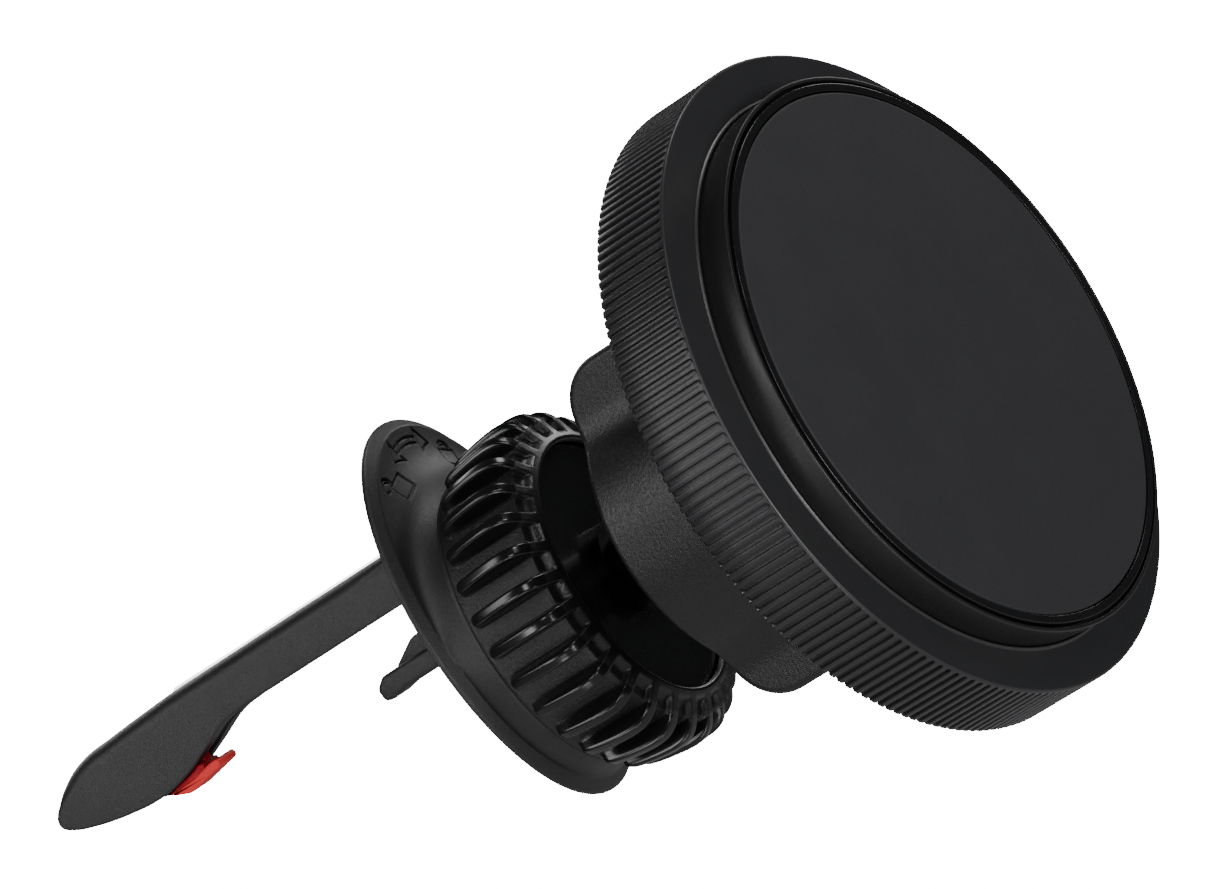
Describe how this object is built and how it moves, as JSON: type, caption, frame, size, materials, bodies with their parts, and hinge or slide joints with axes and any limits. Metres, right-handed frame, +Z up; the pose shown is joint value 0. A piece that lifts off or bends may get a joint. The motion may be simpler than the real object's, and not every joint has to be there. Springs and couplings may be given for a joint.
{
  "type": "car phone mount",
  "caption": "Magnetic charging phone mount for a car: round pad head on a ball joint, ribbed tightening nut and a hook that grips an air vent.",
  "frame": {"origin": "where the nut's axis leaves the base plate's rear face, the face that is drawn up to the vent", "axes": "+Y into the vent along the nut's axis, -Y towards the driver, +Z up, +X to the right when facing the pad"},
  "size_m": [0.0691, 0.1156, 0.0686],
  "materials": {
    "base_black": "fine grain",
    "cushion_black": "matte silicone",
    "stud_steel": "blackened steel",
    "insert_brass": "as turned",
    "cap_black": "semi-gloss",
    "nylon_white": "smooth",
    "nut_black": "semi-gloss ribs",
    "spine_steel": "stamped sheet",
    "hook_black": "satin",
    "tip_red": "matte silicone",
    "cup_black": "smooth",
    "housing_black": "fine grain",
    "screw_black": "black oxide",
    "board_green": "solder mask",
    "ring_black": "semi-gloss, knurled",
    "pad_grey": "soft touch, matte",
    "bezel_black": "gloss",
    "magnet_nickel": "nickel plated",
    "coil_copper": "enamelled wire",
    "ferrite_grey": "matte"
  },
  "bodies": {
    "clip_base": {"base_plate": "base_black", "rear_cushion": "cushion_black", "ball_stud": "stud_steel", "threaded_insert": "insert_brass", "front_cap": "cap_black", "slip_washer": "cup_black"},
    "nut": {"tightening_nut": "nut_black"},
    "hook": {"hook_carriage": "base_black", "hook_spine": "spine_steel", "hook_cheek_right": "hook_black", "hook_cheek_left": "hook_black", "hook_pins": "spine_steel", "hook_tip": "tip_red"},
    "liner": {"ball_liner": "nylon_white"},
    "cup": {"socket_cup": "cup_black"},
    "head": {"rear_housing": "housing_black", "front_housing": "housing_black", "knurled_ring": "ring_black", "touch_pad": "pad_grey", "pad_bezel": "bezel_black", "socket_retainer": "cup_black", "friction_spring": "spine_steel", "housing_screws": "screw_black", "usb_shell": "spine_steel", "usb_tongue": "cup_black", "usb_board": "board_green", "magnet_ring": "magnet_nickel", "magnet_yoke": "spine_steel", "charging_coil": "coil_copper", "ferrite_disc": "ferrite_grey", "circuit_board": "board_green"}
  },
  "joints": [
    {"name": "head_pan", "type": "hinge", "parent": "clip_base", "child": "liner", "pos_m": [0, -0.0314, 0], "axis": [0, 0, 1], "range_deg": [-11.4, 28.6]},
    {"name": "head_tilt", "type": "hinge", "parent": "liner", "child": "cup", "pos_m": [0, -0.0314, 0], "axis": [0.9888, -0.1495, 0], "range_deg": [-20, 20]},
    {"name": "head_roll", "type": "hinge", "parent": "cup", "child": "head", "pos_m": [0, -0.0314, 0], "axis": [-0.1495, -0.9888, 0], "continuous": true},
    {"name": "nut_turn", "type": "hinge", "parent": "clip_base", "child": "nut", "pos_m": [0, -0.01, 0], "axis": [0, 1, 0], "range_deg": [0, 720]},
    {"name": "hook_slide", "type": "slide", "parent": "clip_base", "child": "hook", "axis": [0, 1, 0], "range_m": [-0.009, 0]}
  ],
  "couplings": [
    {"joint": "hook_slide", "follows": "nut_turn", "m_per_rad": -0.000716}
  ]
}
